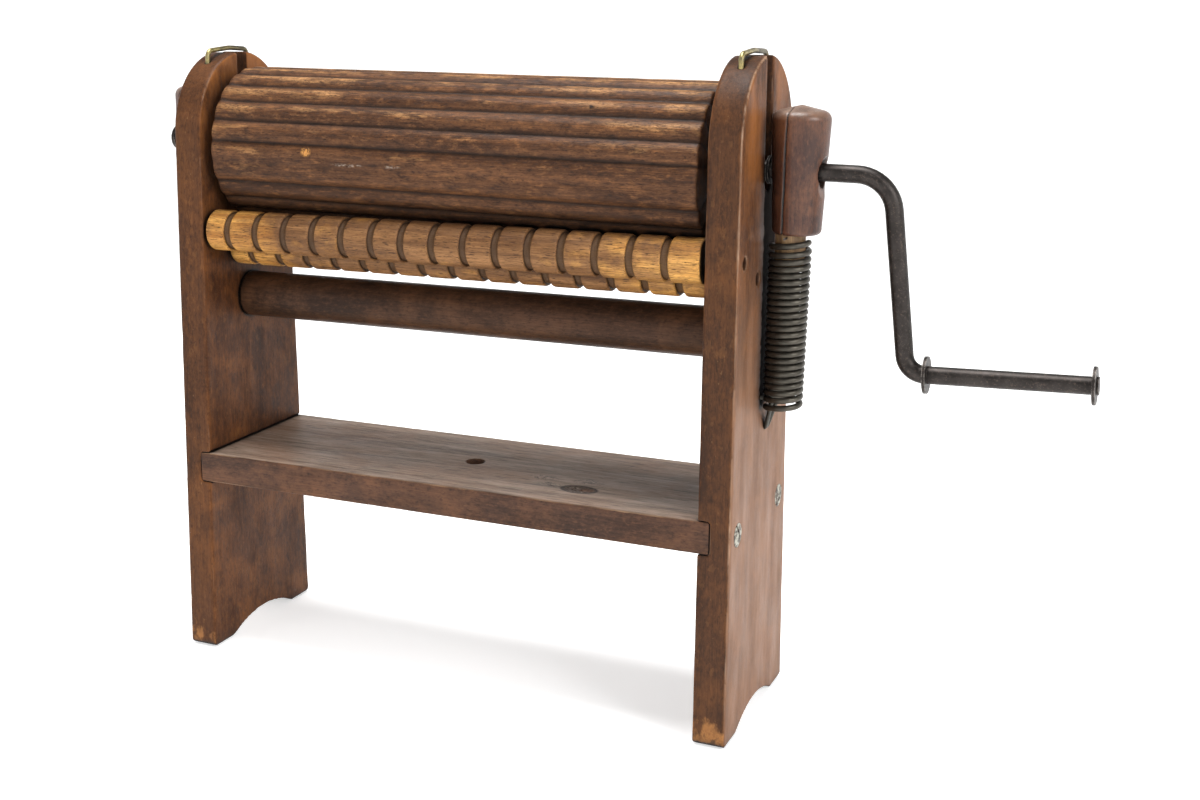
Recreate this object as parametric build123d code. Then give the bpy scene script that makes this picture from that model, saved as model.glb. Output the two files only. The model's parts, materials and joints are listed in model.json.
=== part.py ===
from build123d import *
from math import acos, atan, atan2, cos, degrees, hypot, radians, sin
import os

# A small hand-cranked machine: a fluted wooden drum rolls in a curved bed of four ringed wooden
# rollers. Two springs pull the drum's bearing blocks down, and the axle can rise in slots that
# are open at the top of the end boards. The axle rests a little askew: its left end is higher.
#
# All lengths are in millimetres. The machine is built about the plane midway between its end
# boards, with the crank towards +X and the front towards -Y. Each piece is moved as it is saved,
# so that the origin is at the middle of the base of the whole machine, crank included.

# End boards
BOARD_GAP = 374.6
BOARD_THICKNESS = 22.0
BOARD_HEIGHT = 440.0
FOOT_WIDTH = 131.2
BOARD_TOP_RADIUS = 56.0
FOOT_ARCH_WIDTH = 86.0
FOOT_ARCH_HEIGHT = 11.5
FOOT_CORNER_RADIUS = 3.0
BOARD_ARRIS_RADIUS = 1.8
INNER_FACE = BOARD_GAP / 2
OUTER_FACE = INNER_FACE + BOARD_THICKNESS
BOARD_MIDDLE = INNER_FACE + BOARD_THICKNESS / 2

# Axle, drum and slots. The axle's height is the one midway between the boards, and what it
# carries is drawn level and then tilted about that point.
ROD_RADIUS = 5.6
AXLE_HEIGHT = 371.9
AXLE_TILT = 0.95
AXLE_END = -249.0
SLOT_WIDTH = 12.0
SLOT_BOTTOM = 355.0
DRUM_RADIUS = 54.5
DRUM_LENGTH = 360.0
DRUM_END_CHAMFER = 1.5
FLUTE_COUNT = 22
FLUTE_DEPTH = 3.2
FLUTE_STEP = 360 / FLUTE_COUNT
FIRST_VALLEY = 2.5

# Crank: the axle's right end is bent down into an arm and out again into a handle
ARM_TOP_X = 287.0
ARM_BOTTOM_X = 302.7
CRANK_THROW = 122.4
HANDLE_END = 415.7
HANDLE_RISE = 5.1
ARM_TOP_BEND = 24.0
ARM_BOTTOM_BEND = 12.6
GRIP_WASHER_RADIUS = 11.7
GRIP_WASHER_THICKNESS = 2.0
INNER_GRIP_WASHER_X = 315.2
OUTER_GRIP_WASHER_X = 413.2
END_COLLAR_RADIUS = 8.8
END_COLLAR_THICKNESS = 2.6
END_COLLAR_X = -246.6
HANDLE_LEAN = degrees(atan2(HANDLE_RISE, HANDLE_END - ARM_BOTTOM_X))

# Pins that fix the drum to its axle, driven in along a valley
DRIVE_PIN_RADIUS = 2.0
DRIVE_PIN_OUTER = 48.0
DRIVE_PIN_INNER = -14.0
DRIVE_PIN_X = 120.0
DRIVE_PIN_VALLEY = 14

# Ringed rollers, in an even fan about the bed's centre
BED_CENTRE_HEIGHT = 367.5
BED_REACH = 68.7
ROLLER_RADIUS = 15.0
ROLLER_LENGTH = 368.6
ROLLER_END_RADIUS = 2.5
ROLLER_SPACING = 26.5
RING_GROOVES = 15
RING_PITCH = 23.4
RING_OFFSET = -2.8
RING_GROOVE_WIDTH = 4.8
RING_GROOVE_DEPTH = 2.6
RING_EDGE = 0.8
GUDGEON_RADIUS = 4.2
GUDGEON_IN_ROLLER = 35.0
GUDGEON_RECESS = 10.0

# Shelf, stretcher and their fastenings
SHELF_HEIGHT = 129.2
SHELF_THICKNESS = 22.0
SHELF_WIDTH = 123.4
SHELF_ARRIS_RADIUS = 1.0
SHELF_HOLE_RADIUS = 6.75
DADO_DEPTH = 8.0
DADO_PLAY = 0.1
SCREW_SPREAD = 92.0
SCREW_HEAD_RADIUS = 7.75
SCREW_HEAD_DEPTH = 4.8
SCREW_HEAD_DOME = 1.0
SCREW_SHANK_RADIUS = 3.0
SCREW_LENGTH = 48.0
SCREW_SLOT_WIDTH = 1.6
SCREW_SLOT_DEPTH = 2.0
STRETCHER_RADIUS = 16.9
STRETCHER_HEIGHT = 260.7
STRETCHER_TENON_RADIUS = 11.0
STRETCHER_TENON_LENGTH = 14.0

# Brass axle keepers: wire staples over the slots, the left-hand one a little shorter
KEEPER_WIRE_RADIUS = 1.7
RIGHT_KEEPER_FRONT = -26.5
LEFT_KEEPER_FRONT = -22.0
KEEPER_BACK = 27.0
KEEPER_CROWN = 442.6
KEEPER_SHOULDER = 441.0
KEEPER_LEG_END = 416.0
KEEPER_SHOULDER_BEND = 5.0
KEEPER_CROWN_BEND = 60.0

# Bearing blocks and what hangs from them. The left-hand block is more slender.
BLOCK_X = 229.4
BLOCK_BOTTOM = 332.4
BLOCK_TOP = 413.2
RIGHT_BLOCK_TOP_RADIUS = 18.6
LEFT_BLOCK_TOP_RADIUS = 16.0
BLOCK_BOTTOM_RADIUS = 15.2
BLOCK_DOME_RISE = 4.5
BLOCK_TOP_EDGE = 6.0
BLOCK_BOTTOM_EDGE = 3.0
BLOCK_FLAT_X = 212.2
BLOCK_MOUTH_START = 236.0
BLOCK_MOUTH_END = 249.0
BLOCK_MOUTH_RADIUS = 11.5
THRUST_WASHER_RADIUS = 9.0
THRUST_WASHER_THICKNESS = 2.0
THRUST_WASHER_X = 210.8

# Springs, pegs, nails and staples. A spring leans from its staple to its peg.
RIGHT_SPRING_FOOT_X = 223.0
LEFT_SPRING_FOOT_X = 225.0
SPRING_WIRE_RADIUS = 1.65
SPRING_TURNS = 23
SPRING_BOTTOM = 213.0
SPRING_TOP = 329.3
SPRING_TOP_RADIUS = 12.1
SPRING_BOTTOM_RADIUS = 11.15
PEG_X = 225.8
PEG_RADIUS = 9.6
PEG_BOTTOM = 310.4
PEG_TOP = 350.4
NAIL_RADIUS = 0.75
NAIL_HEIGHT = 330.4
NAIL_OUTER = 14.8
NAIL_INNER = -5.0
STAPLE_WIRE_RADIUS = 0.6
STAPLE_TOP = 219.75
STAPLE_BOTTOM = 197.0
STAPLE_OUTER_X = 217.4
STAPLE_FOOT_X = 213.0
STAPLE_IN_BOARD = 9.0
STAPLE_BEND = 2.0

# Clearances: a running fit turns or slides, a push fit stays put
RUNNING_FIT = 0.05
PUSH_FIT = 0.02


def rod_along_x(radius, start, end, y=0.0, z=0.0):
    """A round bar or drill from x = start to x = end."""
    bar = Cylinder(radius, end - start, rotation=(0, 90, 0))
    return bar.moved(Location(((start + end) / 2, y, z)))


def box_between(low, high):
    """A box from one corner to the opposite one."""
    sides = [b - a for a, b in zip(low, high)]
    middle = [(a + b) / 2 for a, b in zip(low, high)]
    return Box(*sides).moved(Location(tuple(middle)))


def bent_wire(points, bends, radius):
    """A round wire along a path with rounded bends, its first run first."""
    path = FilletPolyline(*points, radius=bends)
    start = Plane(origin=path @ 0, z_dir=path % 0)
    return sweep(start * Circle(radius), path=path)


def to_left(shape):
    """The same piece at the other end of the machine."""
    return shape.rotate(Axis.Z, 180)


def on_tilted_axle(shape):
    """A piece drawn on a level axle, tilted with the real one: its right end goes down."""
    return shape.rotate(Axis((0, 0, AXLE_HEIGHT), (0, 1, 0)), AXLE_TILT)


def roller_places():
    """The rollers' (y, z) places: an even fan below the drum."""
    angles = [radians(ROLLER_SPACING * step) for step in (-1.5, -0.5, 0.5, 1.5)]
    return [(BED_REACH * sin(angle), BED_CENTRE_HEIGHT - BED_REACH * cos(angle)) for angle in angles]


# ---- Frame ----

def board_outline():
    """Leaning sides from an arched foot to a round top."""
    foot = FOOT_WIDTH / 2
    arch = FOOT_ARCH_WIDTH / 2
    centre = BOARD_HEIGHT - BOARD_TOP_RADIUS
    lean = acos(BOARD_TOP_RADIUS / hypot(foot, centre)) - atan2(centre, foot)
    shoulder_y = BOARD_TOP_RADIUS * cos(lean)
    shoulder_z = centre + BOARD_TOP_RADIUS * sin(lean)
    edges = [
        Line((foot, 0), (shoulder_y, shoulder_z)),
        ThreePointArc((shoulder_y, shoulder_z), (0, BOARD_HEIGHT), (-shoulder_y, shoulder_z)),
        Line((-shoulder_y, shoulder_z), (-foot, 0)),
        Line((-foot, 0), (-arch, 0)),
        ThreePointArc((-arch, 0), (0, FOOT_ARCH_HEIGHT), (arch, 0)),
        Line((arch, 0), (foot, 0)),
    ]
    return make_face(edges)


def board_blank():
    """The right-hand board before it is slotted and drilled."""
    blank = extrude(Plane.YZ.offset(INNER_FACE) * board_outline(), BOARD_THICKNESS)
    foot_corners = blank.edges().filter_by(Axis.X).filter_by(
        lambda edge: abs(edge.center().Y) > FOOT_WIDTH / 2 - 1
    )
    blank = fillet(foot_corners, FOOT_CORNER_RADIUS)
    arrises = blank.edges().filter_by(
        lambda edge: edge.center().Z > FOOT_ARCH_HEIGHT
        and abs(edge.center().X - BOARD_MIDDLE) > BOARD_THICKNESS / 2 - 0.1
    )
    return fillet(arrises, BOARD_ARRIS_RADIUS)


def axle_slot():
    slot_radius = SLOT_WIDTH / 2
    sides = box_between(
        (INNER_FACE - 1, -slot_radius, SLOT_BOTTOM + slot_radius),
        (OUTER_FACE + 1, slot_radius, BOARD_HEIGHT + 1),
    )
    end = rod_along_x(slot_radius, INNER_FACE - 1, OUTER_FACE + 1, z=SLOT_BOTTOM + slot_radius)
    return sides + end


def shelf_dado():
    return box_between(
        (INNER_FACE - 1, -FOOT_WIDTH, SHELF_HEIGHT - DADO_PLAY),
        (INNER_FACE + DADO_DEPTH + DADO_PLAY, FOOT_WIDTH, SHELF_HEIGHT + SHELF_THICKNESS + DADO_PLAY),
    )


def end_board(keeper_front):
    board = board_blank() - axle_slot() - shelf_dado()
    for y, z in roller_places():
        board -= rod_along_x(GUDGEON_RADIUS + RUNNING_FIT, INNER_FACE - 1, OUTER_FACE + 1, y, z)
    board -= rod_along_x(
        STRETCHER_TENON_RADIUS + PUSH_FIT,
        INNER_FACE - 1,
        INNER_FACE + STRETCHER_TENON_LENGTH + DADO_PLAY,
        z=STRETCHER_HEIGHT,
    )
    board -= keeper(keeper_front, PUSH_FIT)
    board -= spring_staple(PUSH_FIT)
    for screw in screw_bodies(PUSH_FIT):
        board -= screw
    return board


def shelf():
    half_length = INNER_FACE + DADO_DEPTH
    low = (-half_length, -SHELF_WIDTH / 2, SHELF_HEIGHT)
    high = (half_length, SHELF_WIDTH / 2, SHELF_HEIGHT + SHELF_THICKNESS)
    plank = fillet(box_between(low, high).edges().filter_by(Axis.X), SHELF_ARRIS_RADIUS)
    middle = SHELF_HEIGHT + SHELF_THICKNESS / 2
    plank -= Cylinder(SHELF_HOLE_RADIUS, 2 * SHELF_THICKNESS).moved(Location((0, 0, middle)))
    for screw in screw_bodies(PUSH_FIT):
        plank -= screw
        plank -= to_left(screw)
    return plank


def stretcher():
    tenon_end = INNER_FACE + STRETCHER_TENON_LENGTH
    dowel = rod_along_x(STRETCHER_RADIUS, -INNER_FACE, INNER_FACE, z=STRETCHER_HEIGHT)
    return dowel + rod_along_x(STRETCHER_TENON_RADIUS, -tenon_end, tenon_end, z=STRETCHER_HEIGHT)


def screw_profile(extra):
    """Half the outline of a countersunk wood screw with a low dome, point downwards."""
    head = SCREW_HEAD_RADIUS + extra
    shank = SCREW_SHANK_RADIUS + extra
    edges = [
        ThreePointArc((0, SCREW_HEAD_DOME), (head / 2, SCREW_HEAD_DOME * 0.75), (head, 0)),
        Polyline((head, 0), (shank, -SCREW_HEAD_DEPTH), (shank, -SCREW_LENGTH + shank),
                 (0, -SCREW_LENGTH), (0, SCREW_HEAD_DOME)),
    ]
    return make_face(edges)


def screw_bodies(extra=0.0):
    """The right-hand board's two shelf screws without their slots."""
    screw = revolve(Plane.XZ * screw_profile(extra), Axis.Z).rotate(Axis.Y, 90)
    height = SHELF_HEIGHT + SHELF_THICKNESS / 2
    return [screw.moved(Location((OUTER_FACE, y, height))) for y in (-SCREW_SPREAD / 2, SCREW_SPREAD / 2)]


def shelf_screws():
    """Two slotted screws; their slots stand at different angles."""
    screws = []
    for screw, turn in zip(screw_bodies(), (25, -40)):
        middle = screw.bounding_box().center()
        slot = Box(2 * SCREW_SLOT_DEPTH, SCREW_SLOT_WIDTH, 4 * SCREW_HEAD_RADIUS).rotate(Axis.X, turn)
        top = OUTER_FACE + SCREW_HEAD_DOME
        screws.append(screw - slot.moved(Location((top, middle.Y, middle.Z))))
    return Compound(screws)


def keeper(front, extra=0.0):
    """A brass wire staple with a slightly crowned bridge, its legs in the board's round top."""
    outline = [
        (front, KEEPER_LEG_END), (front, KEEPER_SHOULDER), (0, KEEPER_CROWN),
        (KEEPER_BACK, KEEPER_SHOULDER), (KEEPER_BACK, KEEPER_LEG_END),
    ]
    points = [(BOARD_MIDDLE, y, z) for y, z in outline]
    bends = [KEEPER_SHOULDER_BEND, KEEPER_CROWN_BEND, KEEPER_SHOULDER_BEND]
    return bent_wire(points, bends, KEEPER_WIRE_RADIUS + extra)


def spring_staple(extra=0.0):
    """A wire staple: its upper leg lies on the spring's lowest turn, inside the coil."""
    in_board = OUTER_FACE - STAPLE_IN_BOARD
    outline = [
        (in_board, STAPLE_TOP), (STAPLE_OUTER_X, STAPLE_TOP),
        (STAPLE_FOOT_X, STAPLE_BOTTOM), (in_board, STAPLE_BOTTOM),
    ]
    points = [(x, 0, z) for x, z in outline]
    return bent_wire(points, [STAPLE_BEND, STAPLE_BEND], STAPLE_WIRE_RADIUS + extra)


def spring(foot_x, top_x, top_z):
    """A tension spring, a little wider at the top, where it grips the peg."""
    lean = atan2(top_x - foot_x, top_z - SPRING_BOTTOM)
    rise = (top_z - SPRING_BOTTOM) / cos(lean) - 2 * SPRING_WIRE_RADIUS
    flare = degrees(atan((SPRING_TOP_RADIUS - SPRING_BOTTOM_RADIUS) / rise))
    coil = Helix(rise / SPRING_TURNS, rise, SPRING_BOTTOM_RADIUS, cone_angle=flare)
    start = Plane(origin=coil @ 0, z_dir=coil % 0)
    wire = sweep(start * Circle(SPRING_WIRE_RADIUS), path=coil, is_frenet=True)
    wire = wire.rotate(Axis.Y, degrees(lean))
    return wire.moved(Location((foot_x, 0, SPRING_BOTTOM + SPRING_WIRE_RADIUS)))


def right_spring():
    top = on_tilted_axle(Vertex(PEG_X, 0, SPRING_TOP)).center()
    return spring(RIGHT_SPRING_FOOT_X, top.X, top.Z)


def left_spring():
    """Longer than the right-hand one, because its end of the axle is higher."""
    top = on_tilted_axle(Vertex(-PEG_X, 0, SPRING_TOP)).center()
    return to_left(spring(LEFT_SPRING_FOOT_X, -top.X, top.Z))


# ---- Pressure carriage ----

def block_profile(top_radius):
    """Half the outline of a turned block: tapering sides, eased bottom edge, domed top."""
    shoulder = BLOCK_TOP - BLOCK_DOME_RISE
    edge = FilletPolyline(
        (0, BLOCK_BOTTOM), (BLOCK_BOTTOM_RADIUS, BLOCK_BOTTOM), (top_radius, shoulder), (0, BLOCK_TOP),
        radius=[BLOCK_BOTTOM_EDGE, BLOCK_TOP_EDGE],
    )
    return make_face([edge, Line((0, BLOCK_TOP), (0, BLOCK_BOTTOM))])


def bearing_block(top_radius):
    """A turned block, flat towards the board, with a flared mouth where the axle leaves it."""
    block = revolve(Plane.XZ * block_profile(top_radius), Axis.Z).moved(Location((BLOCK_X, 0, 0)))
    block -= box_between((OUTER_FACE, -BLOCK_X, 0), (BLOCK_FLAT_X, BLOCK_X, BOARD_HEIGHT))
    block -= rod_along_x(ROD_RADIUS + RUNNING_FIT, OUTER_FACE, BLOCK_MOUTH_END, z=AXLE_HEIGHT)
    mouth = Cone(ROD_RADIUS, BLOCK_MOUTH_RADIUS, BLOCK_MOUTH_END - BLOCK_MOUTH_START, rotation=(0, 90, 0))
    block -= mouth.moved(Location(((BLOCK_MOUTH_START + BLOCK_MOUTH_END) / 2, 0, AXLE_HEIGHT)))
    return block - peg_blank(PUSH_FIT)


def peg_blank(extra=0.0):
    peg = Cylinder(PEG_RADIUS + extra, PEG_TOP - PEG_BOTTOM)
    return peg.moved(Location((PEG_X, 0, (PEG_TOP + PEG_BOTTOM) / 2)))


def spring_peg():
    return peg_blank() - spring_nail(PUSH_FIT)


def spring_nail(extra=0.0):
    """A thin nail from the front through the peg, above the spring's top turn."""
    nail = Cylinder(NAIL_RADIUS + extra, NAIL_OUTER - NAIL_INNER, rotation=(90, 0, 0))
    return nail.moved(Location((PEG_X, -(NAIL_OUTER + NAIL_INNER) / 2, NAIL_HEIGHT)))


def washer(x, radius, thickness, fit):
    ring = rod_along_x(radius, x - thickness / 2, x + thickness / 2)
    return ring - rod_along_x(ROD_RADIUS + fit, x - thickness, x + thickness)


def thrust_washer():
    ring = washer(THRUST_WASHER_X, THRUST_WASHER_RADIUS, THRUST_WASHER_THICKNESS, RUNNING_FIT)
    return ring.moved(Location((0, 0, AXLE_HEIGHT)))


# ---- Drum ----

def around_axle(angle, radius):
    """A (y, z) place about the axle, its angle in degrees from the top towards the front."""
    turn = radians(angle)
    return -radius * sin(turn), AXLE_HEIGHT + radius * cos(turn)


def flute_ridge(number):
    """One round ridge between two valleys."""
    angle = FIRST_VALLEY + number * FLUTE_STEP
    valley_radius = DRUM_RADIUS - FLUTE_DEPTH
    return ThreePointArc(
        around_axle(angle, valley_radius),
        around_axle(angle + FLUTE_STEP / 2, DRUM_RADIUS),
        around_axle(angle + FLUTE_STEP, valley_radius),
    )


def fluted_drum():
    outline = make_face([flute_ridge(number) for number in range(FLUTE_COUNT)])
    drum = extrude(Plane.YZ.offset(-DRUM_LENGTH / 2) * outline, DRUM_LENGTH)
    barrel = rod_along_x(DRUM_RADIUS, -DRUM_LENGTH / 2, DRUM_LENGTH / 2, z=AXLE_HEIGHT)
    drum &= chamfer(barrel.edges().filter_by(GeomType.CIRCLE), DRUM_END_CHAMFER)
    drum -= rod_along_x(ROD_RADIUS + PUSH_FIT, -DRUM_LENGTH, DRUM_LENGTH, z=AXLE_HEIGHT)
    for hole in drive_pin_bodies(PUSH_FIT, DRUM_RADIUS):
        drum -= hole
    return drum


def drive_pin_bodies(extra=0.0, outer=DRIVE_PIN_OUTER):
    """Two pins across the axle, both driven in along the same valley."""
    pin = Cylinder(DRIVE_PIN_RADIUS + extra, outer - DRIVE_PIN_INNER + extra)
    pin = pin.moved(Location((0, 0, (outer + DRIVE_PIN_INNER - extra) / 2)))
    pin = pin.rotate(Axis.X, FIRST_VALLEY + DRIVE_PIN_VALLEY * FLUTE_STEP)
    return [pin.moved(Location((x, 0, AXLE_HEIGHT))) for x in (-DRIVE_PIN_X, DRIVE_PIN_X)]


def handle_height(x):
    """The handle's centre line rises a little from the arm to its end."""
    return AXLE_HEIGHT - CRANK_THROW + HANDLE_RISE * (x - ARM_BOTTOM_X) / (HANDLE_END - ARM_BOTTOM_X)


def crank_axle():
    """One bent round rod: axle, arm and handle."""
    outline = [
        (AXLE_END, AXLE_HEIGHT), (ARM_TOP_X, AXLE_HEIGHT),
        (ARM_BOTTOM_X, handle_height(ARM_BOTTOM_X)), (HANDLE_END, handle_height(HANDLE_END)),
    ]
    points = [(x, 0, z) for x, z in outline]
    rod = bent_wire(points, [ARM_TOP_BEND, ARM_BOTTOM_BEND], ROD_RADIUS)
    for hole in drive_pin_bodies(PUSH_FIT):
        rod -= hole
    return rod


def axle_end_collar():
    collar = washer(END_COLLAR_X, END_COLLAR_RADIUS, END_COLLAR_THICKNESS, PUSH_FIT)
    return collar.moved(Location((0, 0, AXLE_HEIGHT)))


def grip_washer(x):
    ring = washer(0, GRIP_WASHER_RADIUS, GRIP_WASHER_THICKNESS, PUSH_FIT).rotate(Axis.Y, -HANDLE_LEAN)
    return ring.moved(Location((x, 0, handle_height(x))))


# ---- Roller bed ----

def ring_groove():
    """A ring groove with eased edges, about the X axis."""
    half = RING_GROOVE_WIDTH / 2
    eased = ROLLER_RADIUS - RING_EDGE
    floor = ROLLER_RADIUS - RING_GROOVE_DEPTH
    outside = ROLLER_RADIUS + RING_EDGE
    spread = half + 2 * RING_EDGE
    outline = Polyline(
        (-half, floor), (half, floor), (half, eased), (spread, outside),
        (-spread, outside), (-half, eased), (-half, floor),
    )
    return revolve(Plane.XZ * make_face(outline), Axis.X)


def ringed_roller(y, z):
    half = ROLLER_LENGTH / 2
    roller = rod_along_x(ROLLER_RADIUS, -half, half)
    roller = fillet(roller.edges().filter_by(GeomType.CIRCLE), ROLLER_END_RADIUS)
    first = RING_OFFSET - RING_PITCH * (RING_GROOVES - 1) / 2
    for number in range(RING_GROOVES):
        roller -= ring_groove().moved(Location((first + RING_PITCH * number, 0, 0)))
    drill = GUDGEON_RADIUS + PUSH_FIT
    depth = GUDGEON_IN_ROLLER + PUSH_FIT
    roller -= rod_along_x(drill, half - depth, half + 1)
    roller -= rod_along_x(drill, -half - 1, -half + depth)
    return roller.moved(Location((0, y, z)))


def roller_gudgeons(y, z):
    """A pin in each end of a roller, ending inside the boards."""
    inner = ROLLER_LENGTH / 2 - GUDGEON_IN_ROLLER
    outer = OUTER_FACE - GUDGEON_RECESS
    pin = rod_along_x(GUDGEON_RADIUS, inner, outer, y, z)
    return Compound([pin, rod_along_x(GUDGEON_RADIUS, -outer, -inner, y, z)])


def save(name, shape):
    """One file per piece, moved from the midplane to the machine's own origin."""
    export_step(shape.moved(Location((-MACHINE_MIDDLE, 0, 0))), f"parts/{name}.step")


def save_both_sides(name, shape):
    save(f"right_{name}", shape)
    save(f"left_{name}", to_left(shape))


def save_both_tilted_sides(name, shape):
    save(f"right_{name}", on_tilted_axle(shape))
    save(f"left_{name}", on_tilted_axle(to_left(shape)))


os.makedirs("parts", exist_ok=True)

# The bent rod's two ends are the ends of the whole machine
bent_rod = on_tilted_axle(crank_axle())
rod_box = bent_rod.bounding_box()
MACHINE_MIDDLE = (rod_box.min.X + rod_box.max.X) / 2

save("right_end_board", end_board(RIGHT_KEEPER_FRONT))
save("left_end_board", to_left(end_board(LEFT_KEEPER_FRONT)))
save("shelf", shelf())
save("stretcher", stretcher())
save_both_sides("shelf_screws", shelf_screws())
save("right_axle_keeper", keeper(RIGHT_KEEPER_FRONT))
save("left_axle_keeper", to_left(keeper(LEFT_KEEPER_FRONT)))
save_both_sides("spring_staple", spring_staple())
save("right_spring", right_spring())
save("left_spring", left_spring())

save("right_bearing_block", on_tilted_axle(bearing_block(RIGHT_BLOCK_TOP_RADIUS)))
save("left_bearing_block", on_tilted_axle(to_left(bearing_block(LEFT_BLOCK_TOP_RADIUS))))
save_both_tilted_sides("spring_peg", spring_peg())
save_both_tilted_sides("spring_nail", spring_nail())
save_both_tilted_sides("thrust_washer", thrust_washer())

save("crank_axle", bent_rod)
save("fluted_drum", on_tilted_axle(fluted_drum()))
save("drum_drive_pins", on_tilted_axle(Compound(drive_pin_bodies())))
save("axle_end_collar", on_tilted_axle(axle_end_collar()))
save("inner_grip_washer", on_tilted_axle(grip_washer(INNER_GRIP_WASHER_X)))
save("outer_grip_washer", on_tilted_axle(grip_washer(OUTER_GRIP_WASHER_X)))

for index, (roller_y, roller_z) in enumerate(roller_places(), start=1):
    save(f"ringed_roller_{index}", ringed_roller(roller_y, roller_z))
    save(f"roller_gudgeons_{index}", roller_gudgeons(roller_y, roller_z))
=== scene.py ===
import json
import math

import bpy
import numpy as np
from mathutils import Matrix, Vector, noise


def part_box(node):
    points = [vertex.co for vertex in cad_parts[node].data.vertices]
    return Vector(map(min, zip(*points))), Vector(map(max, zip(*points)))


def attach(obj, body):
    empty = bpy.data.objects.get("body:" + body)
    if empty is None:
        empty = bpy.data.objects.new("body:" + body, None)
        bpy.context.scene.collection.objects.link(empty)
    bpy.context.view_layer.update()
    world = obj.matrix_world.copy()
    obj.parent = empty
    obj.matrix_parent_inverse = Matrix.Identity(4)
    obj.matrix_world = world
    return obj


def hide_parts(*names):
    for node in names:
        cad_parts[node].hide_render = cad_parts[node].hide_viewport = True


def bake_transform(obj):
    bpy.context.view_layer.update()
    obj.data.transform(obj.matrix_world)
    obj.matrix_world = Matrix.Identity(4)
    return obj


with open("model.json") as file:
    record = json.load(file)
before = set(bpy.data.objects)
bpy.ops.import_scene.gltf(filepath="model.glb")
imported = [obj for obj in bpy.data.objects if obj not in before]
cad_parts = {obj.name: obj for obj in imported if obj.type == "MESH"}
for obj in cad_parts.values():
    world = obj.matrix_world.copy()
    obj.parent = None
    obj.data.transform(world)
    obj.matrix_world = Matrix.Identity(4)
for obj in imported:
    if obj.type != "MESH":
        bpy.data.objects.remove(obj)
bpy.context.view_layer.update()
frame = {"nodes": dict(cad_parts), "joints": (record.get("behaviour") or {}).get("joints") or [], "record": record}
MM = 0.001
# A brown-black for dark grain and dirt, also used as painted shade in crevices and the drum's valleys
BROWN_BLACK = (0.012, 0.007, 0.005, 1)
BLACK = (0.006, 0.004, 0.003, 1)

BODIES = frame["record"]["behaviour"]["bodies"]
SLOTS = {part["node"]: part["material_slot"] for part in frame["record"]["subparts"]}


# ---- Small helpers ----

def body_of(node):
    return next(body for body, nodes in BODIES.items() if node in nodes)


def middle(node):
    low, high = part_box(node)
    return (low + high) / 2


def wobble(x, y, z):
    """Smooth noise from -1 to 1, the same on each run."""
    return noise.noise(Vector((x, y, z)))


def link(name, mesh):
    piece = bpy.data.objects.new(name, mesh)
    bpy.context.scene.collection.objects.link(piece)
    return piece


def stand_for(piece, node, material):
    """The piece takes a CAD node's place and body, with the given material."""
    piece.data.materials.clear()
    piece.data.materials.append(material)
    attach(piece, body_of(node))
    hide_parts(node)


def smooth(mesh):
    mesh.polygons.foreach_set("use_smooth", [True] * len(mesh.polygons))
    mesh.update()


def skin(name, rings, closed_ends=True, attributes=None):
    """A mesh through rings of points: an array of shape (rings, points, 3). attributes are its marks."""
    rings = np.asarray(rings, float)
    count, around = rings.shape[:2]
    index = np.arange(count * around).reshape(count, around)
    following = np.roll(index, -1, axis=1)
    squares = np.stack([index[:-1], following[:-1], following[1:], index[1:]], axis=-1)
    faces = squares.reshape(-1, 4).tolist()
    if closed_ends:
        faces.append(index[0][::-1].tolist())
        faces.append(index[-1].tolist())
    mesh = bpy.data.meshes.new(name)
    mesh.from_pydata(rings.reshape(-1, 3).tolist(), [], faces)
    for key, values in (attributes or {}).items():
        mark(mesh, key, values)
    smooth(mesh)
    return link(name, mesh)


def applied(piece):
    """The piece's mesh with its modifiers applied."""
    bpy.context.view_layer.update()
    graph = bpy.context.evaluated_depsgraph_get()
    mesh = bpy.data.meshes.new_from_object(piece.evaluated_get(graph))
    piece.modifiers.clear()
    piece.data = mesh
    return mesh


def mesh_points(mesh, kind):
    """The mesh's vertex places ("co") or normals ("normal") as an array."""
    values = np.zeros(len(mesh.vertices) * 3)
    mesh.vertices.foreach_get(kind, values)
    return values.reshape(-1, 3)


def mark(mesh, name, values):
    """A number for each vertex, which the mesh's material can read."""
    attribute = mesh.attributes.new(name, "FLOAT", "POINT")
    attribute.data.foreach_set("value", np.asarray(values, np.float32).ravel())


FULLNESS = 0.15 * MM  # what remeshing and smoothing take off a rounded edge


def carved_copy(name, node, voxel, carve, keep, marks=None):
    """A finer copy of a CAD node. carve(place, normal) says how deep to cut, in metres.

    marks gives each mark's name and a function of place and normal for its value.
    """
    piece = link(name, frame["nodes"][node].data.copy())
    remesh = piece.modifiers.new("remesh", "REMESH")
    remesh.mode = "VOXEL"
    remesh.voxel_size = voxel
    ease = piece.modifiers.new("ease", "SMOOTH")
    ease.factor = 0.5
    ease.iterations = 1
    mesh = applied(piece)
    places = mesh_points(mesh, "co")
    normals = mesh_points(mesh, "normal")
    depth = np.array([carve(place, normal) for place, normal in zip(places, normals)]) - FULLNESS
    low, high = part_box(node)
    mesh.vertices.foreach_set("co", np.clip(places - normals * depth[:, None], low, high).ravel())
    thin = piece.modifiers.new("thin", "DECIMATE")
    thin.ratio = keep
    mesh = applied(piece)
    places = mesh_points(mesh, "co")
    normals = mesh_points(mesh, "normal")
    for key, rule in (marks or {}).items():
        mark(mesh, key, [rule(place, normal) for place, normal in zip(places, normals)])
    smooth(mesh)
    return piece


# ---- Materials ----

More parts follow.
